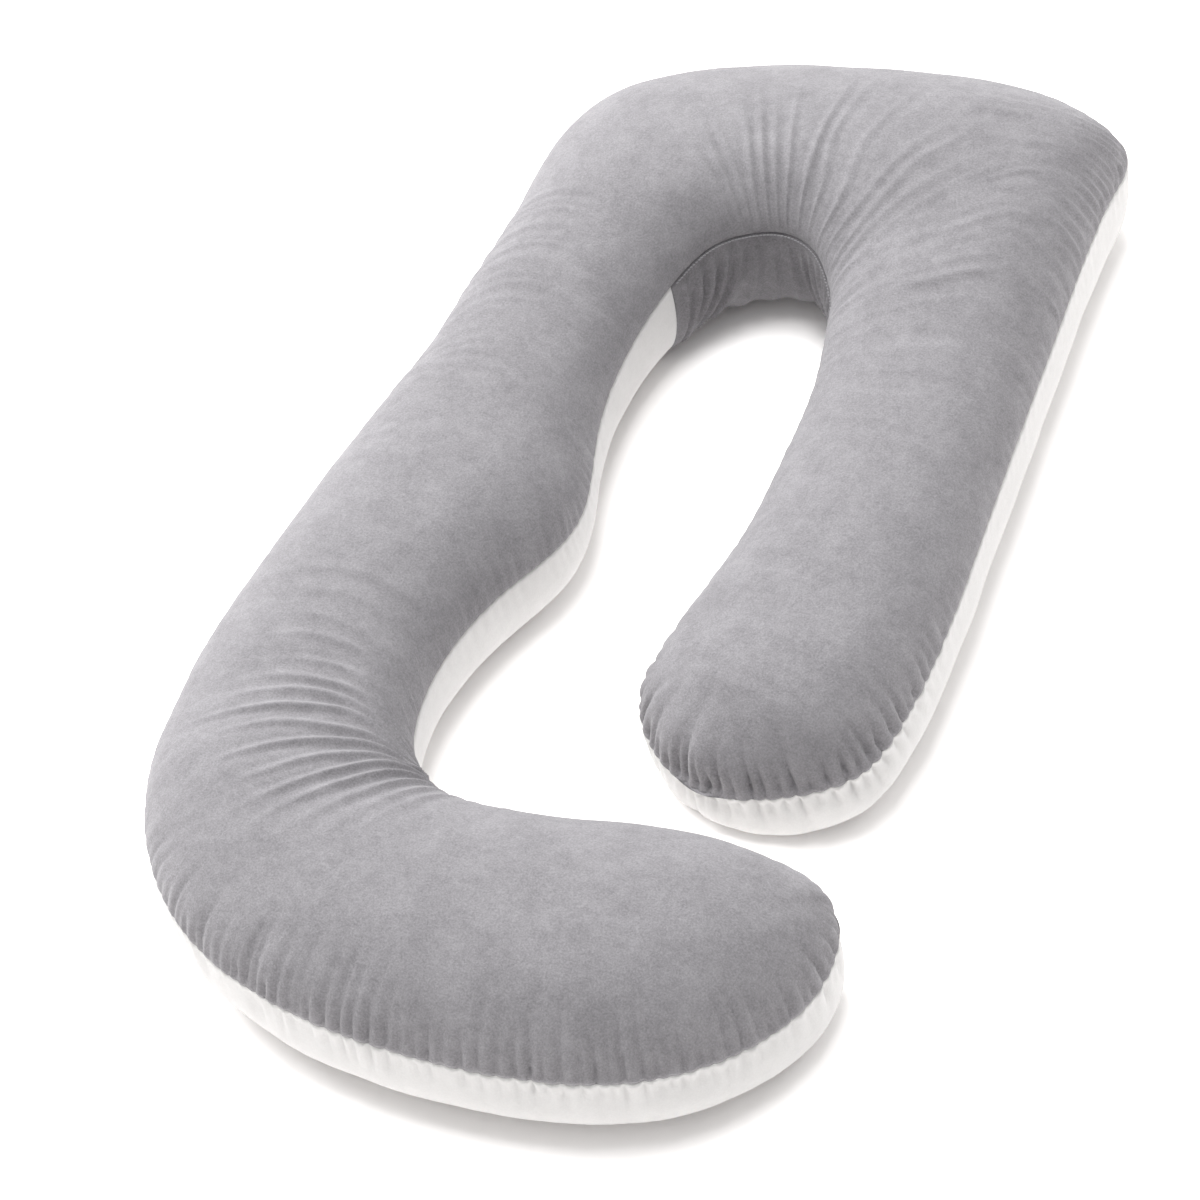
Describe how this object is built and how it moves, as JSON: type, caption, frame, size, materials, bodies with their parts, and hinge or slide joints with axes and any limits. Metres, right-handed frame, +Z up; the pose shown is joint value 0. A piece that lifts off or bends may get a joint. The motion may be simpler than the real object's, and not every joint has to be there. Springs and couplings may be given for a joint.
{
  "type": "body pillow",
  "caption": "Full-body maternity pillow: a long arm with a wide hook, a round neck and a shorter second arm, lying flat.",
  "frame": {"origin": "on the floor, below the middle of the pillow's box", "axes": "+Y along the arms towards the neck, +X towards the short arm, +Z up out of the grey top"},
  "size_m": [0.7816, 1.45, 0.2146],
  "materials": {
    "top_velour": "soft short-pile velour, matt with a pale sheen at grazing angles",
    "underside_velour": "soft short-pile velour, matt",
    "gusset_velour": "soft short-pile velour, matt with a pale sheen at grazing angles"
  },
  "bodies": {
    "root": {"top_panel": "top_velour", "bottom_panel": "underside_velour", "neck_gusset": "gusset_velour"}
  },
  "joints": []
}
